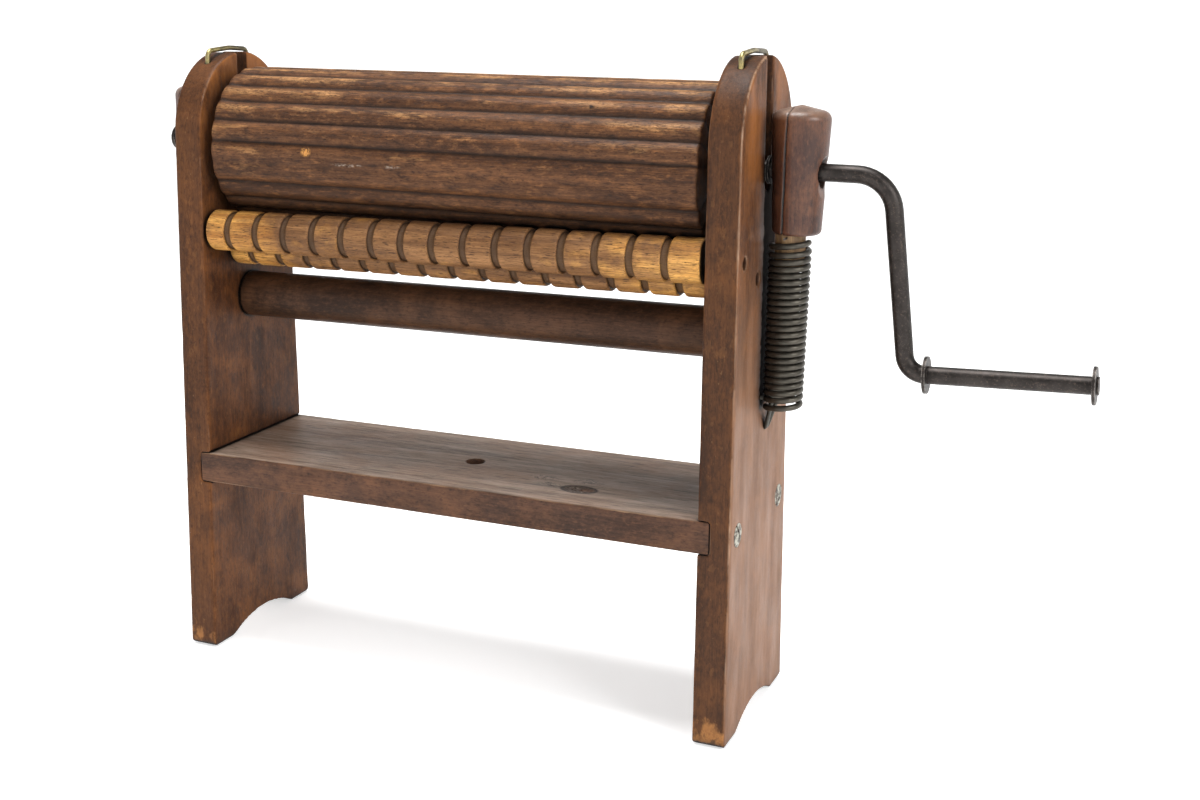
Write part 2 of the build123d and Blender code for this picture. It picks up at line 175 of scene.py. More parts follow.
class Finish:
    """A procedural material, built node by node on Blender's principled shader."""

    def __init__(self, name):
        self.material = bpy.data.materials.new(name)
        self.material.use_nodes = True
        self.tree = self.material.node_tree
        self.shader = self.tree.nodes["Principled BSDF"]
        self.place = self.add("TexCoord").outputs["Object"]

    def add(self, kind, feeds=None, **settings):
        node = self.tree.nodes.new("ShaderNode" + kind)
        for key, value in settings.items():
            setattr(node, key, value)
        for key, value in (feeds or {}).items():
            self.feed(node.inputs[key], value)
        return node

    def feed(self, socket, value):
        if isinstance(value, bpy.types.NodeSocket):
            self.tree.links.new(value, socket)
        else:
            socket.default_value = value

    def stretched(self, axis, share):
        """The place, squeezed along the grain so that noise on it runs into streaks."""
        squeeze = [1.0, 1.0, 1.0]
        squeeze[axis] = share
        return self.add("Mapping", {"Vector": self.place, "Scale": squeeze}).outputs[0]

    def noise(self, where, scale, detail=3.0, roughness=0.55, distortion=0.0):
        feeds = {"Vector": where, "Scale": scale, "Detail": detail, "Roughness": roughness,
                 "Distortion": distortion}
        return self.add("TexNoise", feeds).outputs[0]

    def range(self, value, low, high, to_low=0.0, to_high=1.0):
        feeds = {"Value": value, "From Min": low, "From Max": high, "To Min": to_low, "To Max": to_high}
        return self.add("MapRange", feeds).outputs[0]

    def math(self, operation, first, second=0.0):
        return self.add("Math", {0: first, 1: second}, operation=operation).outputs[0]

    def mix(self, factor, first, second):
        """Two colours mixed."""
        return self.add("Mix", {0: factor, 6: first, 7: second}, data_type="RGBA").outputs[2]

    def mix_values(self, factor, first, second):
        """Two numbers mixed."""
        return self.add("Mix", {0: factor, 2: first, 3: second}).outputs[0]

    def attribute(self, name):
        return self.add("Attribute", attribute_name=name).outputs["Fac"]

    def part(self, vector, axis):
        return self.add("SeparateXYZ", {0: vector}).outputs[axis]

    def edges(self, radius, low, high):
        """1 on sharp edges, 0 on flat faces."""
        rounded = self.add("Bevel", {"Radius": radius}, samples=6).outputs[0]
        true = self.add("NewGeometry").outputs["Normal"]
        likeness = self.add("VectorMath", {0: rounded, 1: true}, operation="DOT_PRODUCT").outputs["Value"]
        return self.range(self.math("SUBTRACT", 1.0, likeness), low, high)

    def crevices(self, distance, low, high):
        """1 deep inside a crevice, 0 in the open."""
        open_sky = self.add("AmbientOcclusion", {"Distance": distance}, samples=8).outputs["AO"]
        return self.range(open_sky, high, low)

    def bump(self, height, distance, strength):
        return self.add("Bump", {"Height": height, "Distance": distance, "Strength": strength}).outputs[0]

    def finish(self, colour, roughness, normal=None, metallic=0.0, specular=0.5):
        """The finished material, with these on its shader."""
        self.feed(self.shader.inputs["Base Color"], colour)
        self.feed(self.shader.inputs["Roughness"], roughness)
        self.feed(self.shader.inputs["Metallic"], metallic)
        self.shader.inputs["Specular IOR Level"].default_value = specular
        if normal is not None:
            self.feed(self.shader.inputs["Normal"], normal)
        return self.material


def grain_layers(f, axis, coarse=70.0):
    """The streaks, fibres and pores that every wood here shares, along one axis."""
    streaks = f.noise(f.stretched(axis, 0.07), coarse, 5.0, 0.6, 0.6)
    fibres = f.noise(f.stretched(axis, 0.03), coarse * 16, 3.0, 0.65)
    pores = f.noise(f.stretched(axis, 0.09), coarse * 28, 1.0, 0.5)
    return streaks, fibres, f.range(pores, 0.62, 0.70)


def grime_and_painted_shade(f, colour, reach=12 * MM, share=0.6):
    """Dirt that has settled where pieces meet, darkened further there as painted shade, and painted black shade in
    narrow holes.
    """
    # painted shade: the ambient-occlusion mask darkens crevices and gaps between parts, together with dirt
    grime_and_shade = f.crevices(reach, 0.3, 0.9)
    colour = f.mix(f.math("MULTIPLY", grime_and_shade, share), colour, BROWN_BLACK)
    # painted shade: narrow holes painted black
    return f.mix(f.crevices(4 * MM, 0.62, 0.80), colour, BLACK)


def varnished_wood(name, axis, deep, body, warm, worn, roughness=0.42):
    """Old varnished timber: streaked, blotched, and rubbed pale where it is marked "arris"."""
    f = Finish(name)
    streaks, fibres, pores = grain_layers(f, axis)
    blotches = f.noise(f.place, 26.0, 5.0, 0.62, 0.4)
    stains = f.noise(f.stretched(axis, 0.35), 65.0, 6.0, 0.65)
    speckle = f.noise(f.stretched(axis, 0.5), 480.0, 4.0, 0.7)
    colour = f.mix(f.range(streaks, 0.36, 0.66), deep, body)
    colour = f.mix(f.range(blotches, 0.46, 0.66, 0.0, 0.8), colour, warm)
    colour = f.mix(f.range(stains, 0.54, 0.70, 0.0, 0.6), colour, deep)
    colour = f.mix(f.range(speckle, 0.52, 0.66, 0.0, 0.45), colour, warm)
    colour = f.mix(f.range(speckle, 0.46, 0.34, 0.0, 0.5), colour, BROWN_BLACK)
    colour = f.mix(f.range(fibres, 0.35, 0.65, 0.35, 0.0), colour, BROWN_BLACK)
    colour = f.mix(f.math("MULTIPLY", pores, 0.5), colour, BROWN_BLACK)
    rubbed = f.noise(f.stretched(axis, 0.3), 170.0, 4.0, 0.7)
    rub = f.math("MULTIPLY", f.range(f.attribute("arris"), 0.35, 0.95), f.range(rubbed, 0.36, 0.6, 0.1, 0.95))
    colour = f.mix(rub, colour, worn)
    gloss = f.range(stains, 0.3, 0.7, roughness - 0.08, roughness + 0.14)
    height = f.math("ADD", f.math("MULTIPLY", fibres, 0.5), f.math("MULTIPLY", streaks, 0.5))
    height = f.math("SUBTRACT", height, f.math("MULTIPLY", pores, 0.35))
    return f, colour, gloss, f.bump(height, 0.35 * MM, 0.55)


def board_wood():
    """The end boards: mottled orange edges, faces orange at the top, worn feet, a black patch of grease and
    painted shadow, painted shade on the narrow edges and a painted reflection low on the outer faces.
    """
    f, colour, gloss, normal = varnished_wood(
        "board_wood", 2, (0.048, 0.018, 0.008, 1), (0.108, 0.042, 0.017, 1), (0.185, 0.068, 0.021, 1),
        (0.37, 0.24, 0.16, 1),
    )
    mottle = f.noise(f.stretched(2, 0.4), 420.0, 6.0, 0.75)
    height = f.part(f.place, 2)
    above_shelf = f.range(height, 0.20, 0.30, 0.35, 1.0)
    below_top = f.range(height, 0.39, 0.35, 0.2, 1.0)
    scuffed = f.math("MULTIPLY", above_shelf, below_top)
    band = f.math("MULTIPLY", f.attribute("band"), f.range(mottle, 0.46, 0.64))
    band = f.math("MULTIPLY", band, scuffed)
    colour = f.mix(f.math("MULTIPLY", band, 0.6), colour, (0.215, 0.078, 0.021, 1))
    flecks = f.noise(f.stretched(2, 0.5), 700.0, 4.0, 0.65)
    sparse = f.math("MULTIPLY", f.attribute("band"), f.range(flecks, 0.65, 0.76, 0.0, 0.55))
    colour = f.mix(sparse, colour, (0.46, 0.24, 0.09, 1))
    side = f.math("ABSOLUTE", f.part(f.add("NewGeometry").outputs["Normal"], 0))
    varnish = f.noise(f.stretched(2, 0.5), 38.0, 4.0, 0.6)
    glow = f.math("MULTIPLY", f.range(height, 0.335, 0.425), f.range(varnish, 0.40, 0.62))
    glow = f.math("MULTIPLY", glow, f.range(side, 0.6, 0.95, 0.0, 0.85))
    colour = f.mix(glow, colour, (0.270, 0.098, 0.026, 1))
    # painted reflection: paler colour low on the outer faces, standing in for the pale floor's reflection
    reflection_patches = f.noise(f.stretched(2, 0.12), 90.0, 5.0, 0.6)
    pale = f.math("MULTIPLY", f.attribute("pale_reflection"), f.range(reflection_patches, 0.30, 0.70, 0.35, 0.95))
    colour = f.mix(pale, colour, (0.265, 0.145, 0.088, 1))
    # painted shade: the boards' narrow edges darkened
    colour = f.mix(f.math("MULTIPLY", f.attribute("edge_shade"), 0.42), colour, (0.034, 0.022, 0.016, 1))
    patches = f.noise(f.stretched(2, 0.6), 130.0, 5.0, 0.6)
    knocked = f.math("ADD", f.attribute("foot"), f.range(patches, 0.36, 0.64, -0.40, 0.40))
    colour = f.mix(f.range(knocked, 0.35, 0.85, 0.0, 0.85), colour, (0.340, 0.150, 0.050, 1))
    colour = f.mix(f.range(knocked, 0.80, 1.05, 0.0, 0.80), colour, (0.055, 0.030, 0.018, 1))
    # grease and painted shadow: black behind the springs and blocks
    grease_and_shadow = f.range(f.attribute("grease_and_shadow"), 0.15, 0.5)
    colour = f.mix(f.math("MULTIPLY", grease_and_shadow, 0.97), colour, BLACK)
    return f.finish(grime_and_painted_shade(f, colour), f.mix_values(grease_and_shadow, gloss, 1.0), normal, specular=0.09)


def stretcher_wood():
    """Plain dark varnish, the grain along X."""
    f, colour, gloss, normal = varnished_wood(
        "stretcher_wood", 0, (0.030, 0.015, 0.009, 1), (0.074, 0.035, 0.019, 1), (0.110, 0.050, 0.024, 1),
        (0.30, 0.19, 0.11, 1),
    )
    return f.finish(grime_and_painted_shade(f, colour), gloss, normal, specular=0.12)


def block_wood():
    """Turned and polished; dark inside its drying crack, with a painted grey highlight on its top."""
    f, colour, gloss, normal = varnished_wood(
        "block_wood", 2, (0.038, 0.014, 0.009, 1), (0.095, 0.034, 0.018, 1), (0.160, 0.062, 0.028, 1),
        (0.30, 0.20, 0.14, 1), roughness=0.34,
    )
    # painted highlight: pale grey patches on the block's domed top
    highlight_patches = f.noise(f.place, 90.0, 5.0, 0.65)
    top = f.math("MULTIPLY", f.attribute("crown"), f.range(highlight_patches, 0.35, 0.65, 0.2, 0.9))
    colour = f.mix(top, colour, (0.30, 0.22, 0.17, 1))
    colour = f.mix(f.range(f.attribute("crack"), 0.1, 0.6), colour, BLACK)
    return f.finish(grime_and_painted_shade(f, colour), gloss, normal, specular=0.4)


def shelf_wood():
    """Dark varnish on the edges, grey and weathered on top, with a rough knot."""
    f, colour, gloss, normal = varnished_wood(
        "shelf_wood", 0, (0.046, 0.021, 0.012, 1), (0.100, 0.045, 0.025, 1), (0.150, 0.064, 0.030, 1),
        (0.42, 0.26, 0.15, 1), roughness=0.5,
    )
    streaks = f.noise(f.stretched(0, 0.06), 85.0, 6.0, 0.62, 0.5)
    clouds = f.noise(f.place, 20.0, 5.0, 0.6, 0.3)
    grey = f.mix(f.range(streaks, 0.36, 0.64), (0.150, 0.104, 0.076, 1), (0.365, 0.268, 0.205, 1))
    grey = f.mix(f.range(clouds, 0.44, 0.66, 0.0, 0.65), grey, (0.265, 0.158, 0.104, 1))
    flecks = f.noise(f.stretched(0, 0.1), 560.0, 5.0, 0.75)
    grey = f.mix(f.range(flecks, 0.53, 0.64, 0.0, 0.75), grey, (0.070, 0.048, 0.036, 1))
    grey = f.mix(f.range(flecks, 0.45, 0.36, 0.0, 0.5), grey, (0.420, 0.330, 0.270, 1))
    up = f.part(f.add("NewGeometry").outputs["Normal"], 2)
    colour = f.mix(f.range(up, 0.8, 0.97), colour, grey)
    swirl = f.noise(f.stretched(0, 0.55), 520.0, 4.0, 0.7, 1.2)
    inside = f.range(f.attribute("knot"), 0.02, 0.14)
    dark_fibres = f.math("MULTIPLY", inside, f.range(swirl, 0.46, 0.60, 0.97, 0.2))
    colour = f.mix(dark_fibres, colour, (0.036, 0.020, 0.013, 1))
    heart = f.range(f.attribute("knot_heart"), 0.1, 0.6)
    reddish = f.math("MULTIPLY", heart, f.range(swirl, 0.44, 0.56, 0.3, 0.9))
    colour = f.mix(reddish, colour, (0.170, 0.065, 0.025, 1))
    rim = f.math("MULTIPLY", inside, f.range(f.attribute("knot"), 0.34, 0.14))
    rim = f.math("MULTIPLY", rim, f.range(swirl, 0.36, 0.5, 0.6, 1.0))
    colour = f.mix(rim, colour, (0.024, 0.014, 0.010, 1))
    splits = f.math("MULTIPLY", f.range(f.attribute("splits"), 0.1, 0.6), f.range(swirl, 0.51, 0.57))
    colour = f.mix(splits, colour, (0.035, 0.023, 0.017, 1))
    return f.finish(grime_and_painted_shade(f, colour, share=0.35), gloss, normal, specular=0.2)


def drum_wood():
    """Worn varnish: dark in the valleys from dirt and painted shade, rubbed to golden wood along parts of the
    upper crests, the upward-facing ones more golden as a painted highlight.
    """
    f = Finish("drum_wood")
    streaks, fibres, pores = grain_layers(f, 0, 95.0)
    relief = f.attribute("relief")
    patches = f.noise(f.stretched(0, 0.22), 150.0, 6.0, 0.7)
    clouds = f.noise(f.stretched(0, 0.5), 30.0, 4.0, 0.6)
    smudges = f.noise(f.stretched(0, 0.4), 260.0, 6.0, 0.72)
    specks = f.noise(f.stretched(0, 0.35), 900.0, 4.0, 0.75)
    colour = f.mix(f.range(streaks, 0.36, 0.66), (0.066, 0.027, 0.012, 1), (0.158, 0.067, 0.028, 1))
    colour = f.mix(f.range(smudges, 0.52, 0.66, 0.0, 0.7), colour, (0.255, 0.108, 0.040, 1))
    colour = f.mix(f.range(smudges, 0.47, 0.34, 0.0, 0.75), colour, (0.024, 0.012, 0.008, 1))
    share = f.math("ADD", f.range(patches, 0.3, 0.7, -0.6, 0.6), f.range(clouds, 0.35, 0.65, -0.1, 0.6))
    # painted highlight: crests that face upward are rubbed more golden, as if lit from above
    up = f.part(f.add("NewGeometry").outputs["Normal"], 2)
    share = f.math("ADD", share, f.range(up, 0.0, 1.0, -0.30, 0.38))
    rubbed = f.math("MULTIPLY", f.range(relief, 0.60, 0.98), f.range(share, 0.30, 0.95))
    rubbed = f.math("MULTIPLY", rubbed, f.range(specks, 0.40, 0.56, 0.25, 0.95))
    colour = f.mix(rubbed, colour, (0.560, 0.285, 0.110, 1))
    # dirt and painted shade: the flute valleys darkened to brown-black
    colour = f.mix(f.range(relief, 0.45, 0.02, 0.0, 0.93), colour, BROWN_BLACK)
    colour = f.mix(f.range(fibres, 0.35, 0.65, 0.5, 0.0), colour, BROWN_BLACK)
    colour = f.mix(f.range(specks, 0.44, 0.34, 0.0, 0.7), colour, BROWN_BLACK)
    colour = f.mix(f.math("MULTIPLY", pores, 0.6), colour, BROWN_BLACK)
    ragged = f.range(f.noise(f.place, 700.0, 3.0, 0.7), 0.40, 0.55)
    colour = f.mix(f.math("MULTIPLY", f.attribute("chip"), ragged), colour, (0.560, 0.260, 0.070, 1))
    scratched = f.math("MULTIPLY", f.attribute("scratch"), f.range(specks, 0.48, 0.56, 0.0, 0.8))
    colour = f.mix(scratched, colour, (0.330, 0.270, 0.220, 1))
    colour = f.mix(f.attribute("hole"), colour, (0.008, 0.004, 0.003, 1))
    height = f.math("ADD", f.math("MULTIPLY", fibres, 0.6), f.math("MULTIPLY", smudges, 0.6))
    height = f.math("SUBTRACT", height, f.math("MULTIPLY", pores, 0.4))
    gloss = f.range(patches, 0.35, 0.65, 0.40, 0.56)
    colour = grime_and_painted_shade(f, colour, 20 * MM, 0.5)
    return f.finish(colour, gloss, f.bump(height, 0.5 * MM, 0.7), specular=0.15)


def roller_wood():
    """Turned wood: golden at the ends, browner in the middle, darker in the ring grooves from dirt and painted
    shade.
    """
    f = Finish("roller_wood")
    streaks, fibres, pores = grain_layers(f, 0, 110.0)
    relief = f.attribute("relief")
    patches = f.noise(f.place, 80.0, 5.0, 0.65)
    checks = f.noise(f.stretched(0, 0.12), 1300.0, 2.0, 0.6)
    brown = f.mix(f.range(streaks, 0.36, 0.66), (0.135, 0.060, 0.022, 1), (0.335, 0.165, 0.064, 1))
    golden = f.mix(f.range(streaks, 0.36, 0.66), (0.400, 0.165, 0.034, 1), (0.820, 0.430, 0.110, 1))
    share = f.math("ADD", f.attribute("gold"), f.range(patches, 0.3, 0.7, -0.3, 0.3))
    colour = f.mix(f.range(share, 0.2, 0.9), brown, golden)
    colour = f.mix(f.range(fibres, 0.33, 0.62, 0.6, 0.0), colour, (0.050, 0.020, 0.008, 1))
    colour = f.mix(f.range(checks, 0.58, 0.67, 0.0, 0.85), colour, (0.030, 0.013, 0.007, 1))
    colour = f.mix(f.math("MULTIPLY", pores, 0.65), colour, (0.026, 0.012, 0.006, 1))
    # dirt and painted shade: the ring grooves darkened
    colour = f.mix(f.range(relief, 0.80, 0.20, 0.0, 0.9), colour, (0.080, 0.042, 0.020, 1))
    height = f.math("SUBTRACT", fibres, f.math("MULTIPLY", checks, 0.8))
    gloss = f.range(patches, 0.3, 0.7, 0.40, 0.56)
    colour = grime_and_painted_shade(f, colour, 14 * MM, 0.75)
    return f.finish(colour, gloss, f.bump(height, 0.45 * MM, 0.7), specular=0.18)


def bare_wood():
    """The pegs: unvarnished, a little dirty."""
    f = Finish("peg_wood")
    streaks, fibres, pores = grain_layers(f, 2, 120.0)
    colour = f.mix(f.range(streaks, 0.35, 0.65), (0.13, 0.075, 0.035, 1), (0.40, 0.25, 0.12, 1))
    colour = f.mix(f.range(fibres, 0.35, 0.65, 0.45, 0.0), colour, (0.10, 0.05, 0.02, 1))
    colour = f.mix(f.math("MULTIPLY", pores, 0.5), colour, (0.05, 0.025, 0.01, 1))
    return f.finish(colour, 0.62, f.bump(fibres, 0.3 * MM, 0.5))


def dark_iron(name, steel, rust, shine=0.35):
    """Handled iron: nearly black, with brown rust freckles and worn bright spots."""
    f = Finish(name)
    cloud = f.noise(f.place, 110.0, 5.0, 0.62)
    freckles = f.noise(f.place, 620.0, 4.0, 0.7)
    fine = f.noise(f.place, 2400.0, 2.0, 0.6)
    lighter = [1.55 * channel for channel in steel[:3]] + [1]
    colour = f.mix(f.range(cloud, 0.4, 0.62), steel, lighter)
    colour = f.mix(f.range(freckles, 0.56, 0.68, 0.0, 0.75), colour, rust)
    bright = f.math("MULTIPLY", f.edges(1.2 * MM, 0.02, 0.2), f.range(freckles, 0.4, 0.6))
    colour = f.mix(bright, colour, (0.30, 0.27, 0.24, 1))
    metallic = f.range(freckles, 0.52, 0.68, 0.85, 0.35)
    gloss = f.range(freckles, 0.35, 0.7, shine, shine + 0.25)
    height = f.math("ADD", f.math("MULTIPLY", freckles, 0.7), f.math("MULTIPLY", fine, 0.3))
    return f.finish(colour, gloss, f.bump(height, 0.25 * MM, 0.5), metallic)


def tarnished_brass():
    """Bright on the keepers' front legs, bronze further back."""
    f = Finish("keeper_brass")
    cloud = f.noise(f.place, 160.0, 5.0, 0.65)
    spots = f.noise(f.place, 800.0, 3.0, 0.6)
    colour = f.mix(f.range(cloud, 0.4, 0.62), (0.50, 0.40, 0.15, 1), (0.20, 0.17, 0.09, 1))
    colour = f.mix(f.range(spots, 0.55, 0.7, 0.0, 0.6), colour, (0.09, 0.08, 0.05, 1))
    colour = f.mix(f.range(f.part(f.place, 1), -0.016, 0.006, 0.0, 0.85), colour, (0.085, 0.070, 0.045, 1))
    return f.finish(colour, f.range(cloud, 0.35, 0.65, 0.25, 0.5), f.bump(spots, 0.15 * MM, 0.5), 0.9)


def painted_screw():
    """Dull iron with the remains of pale paint."""
    f = Finish("screw_iron")
    flakes = f.noise(f.place, 330.0, 5.0, 0.65)
    fine = f.noise(f.place, 1500.0, 3.0, 0.6)
    iron = f.mix(f.range(fine, 0.4, 0.62), (0.045, 0.036, 0.030, 1), (0.10, 0.075, 0.055, 1))
    colour = f.mix(f.range(flakes, 0.46, 0.54), iron, (0.36, 0.35, 0.29, 1))
    return f.finish(colour, 0.55, f.bump(f.math("ADD", flakes, fine), 0.25 * MM, 0.6), 0.35)


# ---- Drum ----

DRUM_SPIN = next(joint for joint in frame["joints"] if joint["name"] == "drum_spin")
AXLE_LINE = Vector(DRUM_SPIN["axis"]).normalized()

FLUTES = 22
FLUTE_STEPS = 18
FIRST_VALLEY = math.radians(2.5)
FLUTE_DEPTH = 3.2 * MM
DRUM_RADIUS = 54.5 * MM

FILLED_VALLEY = 6  # nearly worn away

# Blemishes: the place along the drum from its middle and around it from the top towards the front,
# then half the length and half the height
CHIP = (-101 * MM, math.radians(89.5), 4.2 * MM, 3.4 * MM)
NAIL_HOLE = (104 * MM, math.radians(45.5), 1.8 * MM, 1.5 * MM)
SCRATCHES = (
    (-68 * MM, math.radians(97.5), 13 * MM, 1.1 * MM),
    (-33 * MM, math.radians(97), 7 * MM, 1.1 * MM),
)
CHIP_DEPTH = 0.7 * MM
SCRATCH_DEPTH = 0.3 * MM
HUB_DROP = DRUM_RADIUS - 5.7 * MM  # from the crests in to where the skin stops, about the axle's radius
END_ROUND = ((0.0, 1.6 * MM), (0.35 * MM, 0.7 * MM), (1.1 * MM, 0.2 * MM), (2.2 * MM, 0.0))


def flute_relief(turn):
    """0 in a valley, 1 on a crest: round ridges between narrow valleys, one valley nearly worn away."""
    step = 2 * math.pi / FLUTES
    place = (turn - FIRST_VALLEY) / step
    relief = 1 - abs(2 * (place % 1) - 1) ** 1.8
    if round(place) == FILLED_VALLEY:
        relief = 0.72 + 0.28 * relief
    return relief


def spot(x, turn, blemish):
    """1 at the middle of an oval blemish on the drum's skin, 0 at its edge and beyond."""
    middle_x, middle_turn, half_length, half_height = blemish
    off = math.hypot((x - middle_x) / half_length, (turn - middle_turn) * DRUM_RADIUS / half_height)
    return max(0.0, 1 - off)


def drum():
    """The drum on its tilted axle, its crests worn, with a chip, two scratches and a nail hole."""
    low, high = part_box("fluted_drum")
    axle = middle("fluted_drum")
    back = Vector((0, 1, 0))
    up = AXLE_LINE.cross(back)
    half = (high.x - low.x - 2 * DRUM_RADIUS * abs(AXLE_LINE.z)) / 2
    turns = np.arange(FLUTES * FLUTE_STEPS) * 2 * math.pi / (FLUTES * FLUTE_STEPS)
    stations = [(-half, HUB_DROP)] + [(x - half, drop) for x, drop in END_ROUND]
    stations += [(x, 0.0) for x in np.linspace(4 * MM - half, half - 4 * MM, 200)]
    stations += [(half - x, drop) for x, drop in reversed(END_ROUND)] + [(half, HUB_DROP)]
    rings, relief, chips, holes, scratches = [], [], [], [], []
    for x, drop in stations:
        shallow = 0.5 * max(0.0, 1 - (x + half) / (14 * MM))
        for turn in turns:
            crest = flute_relief(turn)
            front, high_side = math.sin(turn), math.cos(turn)
            wear = 0.2 * MM * (1 + wobble(x * 14, front * 3 + 7, high_side * 3)) * crest
            nick = 0.8 * MM * max(0.0, wobble(x * 90 + 3, front * 16, high_side * 16) - 0.35) * crest
            chip = min(1.0, 3 * spot(x, turn, CHIP))
            hole = min(1.0, 3 * spot(x, turn, NAIL_HOLE))
            scratch = max(spot(x, turn, place) for place in SCRATCHES)
            dug = wear + nick + drop + CHIP_DEPTH * chip + SCRATCH_DEPTH * scratch
            reach = DRUM_RADIUS - FLUTE_DEPTH * (1 - crest) * (1 - shallow) - dug
            rings.append(axle + AXLE_LINE * x + (up * high_side - back * front) * reach)
            relief.append(crest)
            chips.append(chip)
            holes.append(hole)
            scratches.append(min(1.0, 3 * scratch))
    rings = np.array(rings).reshape(len(stations), len(turns), 3)
    marks = {"relief": relief, "chip": chips, "hole": holes, "scratch": scratches}
    return skin("worn_fluted_drum", rings, closed_ends=False, attributes=marks)


# ---- Bed rollers ----

RINGS = 15
RING_PITCH = 23.4 * MM
RINGS_SHIFT = -2.8 * MM  # the rings' middle from the roller's
GROOVE_HALF = 2.4 * MM
GROOVE_DEPTH = 2.6 * MM
BLOCK_SHOULDER = 1.5 * MM
PIN_HOLE_RADIUS = 4.4 * MM
ROLLER_STEPS = 72


def roller_section(start, end, radius, floor):
    """(x, radius, relief) along one block, from its groove's floor over its round shoulders."""
    bends = np.linspace(0, math.pi / 2, 5)
    shoulder = [(BLOCK_SHOULDER * (1 - math.cos(bend)), radius - BLOCK_SHOULDER * (1 - math.sin(bend)),
                 0.55 + 0.45 * math.sin(bend)) for bend in bends]
    points = [(start, floor, 0.0)]
    points += [(start + x, reach, relief) for x, reach, relief in shoulder]
    points += [(x, radius, 1.0) for x in np.linspace(start + BLOCK_SHOULDER, end - BLOCK_SHOULDER, 8)[1:-1]]
    points += [(end - x, reach, relief) for x, reach, relief in reversed(shoulder)]
    points.append((end, floor, 0.0))
    return points


def bed_roller(number):
    """One ringed roller, each block worn a little differently and the end blocks the most golden."""
    node = f"ringed_roller_{number}"
    low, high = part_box(node)
    centre = middle(node)
    radius = (high.z - low.z) / 2
    floor = radius - GROOVE_DEPTH
    first = centre.x + RINGS_SHIFT - RING_PITCH * (RINGS - 1) / 2
    grooves = [first + RING_PITCH * step for step in range(RINGS)]
    starts = [low.x] + [x + GROOVE_HALF for x in grooves]
    ends = [x - GROOVE_HALF for x in grooves] + [high.x]
    profile = [(low.x, PIN_HOLE_RADIUS, 0.6)]
    blocks = [-1]
    for block, (start, end) in enumerate(zip(starts, ends)):
        worn = 0.22 * MM * (1 + wobble(block * 1.7, number * 3.1, 0.5))
        section = roller_section(start, end, radius - worn, floor)
        if block == 0:
            section = section[1:]
        if block == RINGS:
            section = section[:-1]
        profile += section
        blocks += [block] * len(section)
    profile.append((high.x, PIN_HOLE_RADIUS, 0.6))
    blocks.append(RINGS)
    turns = np.arange(ROLLER_STEPS) * 2 * math.pi / ROLLER_STEPS
    rings, relief, gold = [], [], []
    length = high.x - low.x
    for (x, reach, height), block in zip(profile, blocks):
        ring = []
        for turn in turns:
            y, z = math.cos(turn), math.sin(turn)
            dent = 0.16 * MM * (1 + wobble(x * 160, y * 4 + number, z * 4)) * height
            out = reach - (dent if height > 0.5 and reach > floor else 0)
            ring.append((x, centre.y + out * y, centre.z + out * z))
        from_left = (x - low.x) / length
        ends_gold = max(1.6 - from_left / 0.12, (from_left - 0.70) / 0.36, 0.0)
        tone = min(1.0, ends_gold) + 0.3 * wobble(block * 2.3, number * 1.9, 4.5)
        rings.append(ring)
        relief.append([height] * len(turns))
        gold.append([tone + 0.5 * wobble(block * 1.3, 1.6 * math.cos(turn) + number, 1.6 * math.sin(turn))
                     for turn in turns])
    return skin(f"worn_{node}", rings, closed_ends=False, attributes={"relief": relief, "gold": gold})


# ---- Springs ----

SPRING_WIRE = 1.98 * MM
SPRING_TURNS = 24.5
TURN_STEPS = 32
HOOK_WIRE = 1.45 * MM
WIRE_SIDES = 12


def turn_spacing(share):
    """How far apart the turns lie, from 0 at a spring's foot to 1 at its top: its end turns stand open."""
    return 1 + 0.50 * math.exp(-share * 26) + 0.75 * math.exp(-(1 - share) * 26)


def spring(side):
    """A close-wound tension spring that leans from its staple to its peg."""
    low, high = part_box(f"{side}_spring")
    peg_low, peg_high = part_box(f"{side}_spring_peg")
    out = 1 if side == "right" else -1
    reach = (high.y - low.y) / 2 - SPRING_WIRE
    foot_reach = reach - 0.9 * MM
    near = low.x if side == "right" else high.x
    foot = near + out * (foot_reach + SPRING_WIRE)
    top = (peg_low.x + peg_high.x) / 2
    shares = np.linspace(0, 1, round(SPRING_TURNS * TURN_STEPS) + 1)
    spacing = np.array([turn_spacing(share) for share in shares])
    climb = np.concatenate([[0], np.cumsum(spacing[1:])])
    climb /= climb[-1]
    angle = math.pi + 2 * math.pi * SPRING_TURNS * shares
    around = foot_reach + (reach - foot_reach) * shares
    line = np.stack([
        foot + (top - foot) * shares + out * around * np.cos(angle),
        out * around * np.sin(angle),
        low.z + SPRING_WIRE + (high.z - low.z - 2 * SPRING_WIRE) * climb,
    ], axis=1)
    return wire(f"coiled_{side}_spring", line, SPRING_WIRE)


def hook(side):
    """A stout wire bent to a V over the spring's lowest turn, its point driven into the board."""
    low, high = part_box(f"{side}_spring_staple")
    board_low, board_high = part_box(f"{side}_end_board")
    out = 1 if side == "right" else -1
    face = board_high.x if side == "right" else board_low.x
    top = high.z + 0.3 * MM
    corners = [(-3 * MM, -4 * MM, top), (7.2 * MM, -3 * MM, top), (6.4 * MM, -2 * MM, top - 5 * MM),
               (1.0 * MM, 7 * MM, low.z + 2 * MM), (-2.5 * MM, 8.5 * MM, low.z + 1 * MM),
               (1.0 * MM, 10 * MM, low.z + 2 * MM), (6.4 * MM, 12 * MM, top - 5 * MM),
               (7.2 * MM, 12 * MM, top), (-3 * MM, 13 * MM, top)]
    points = []
    for start, end in zip(corners, corners[1:]):
        for share in np.linspace(0, 1, 10)[:-1]:
            points.append(np.array(start) + (np.array(end) - np.array(start)) * share)
    points.append(np.array(corners[-1]))
    line = np.array(points)
    for _ in range(4):
        line[1:-1] = (line[:-2] + 2 * line[1:-1] + line[2:]) / 4
    line[:, 0] = face + out * line[:, 0]
    return wire(f"bent_{side}_hook", line, HOOK_WIRE)


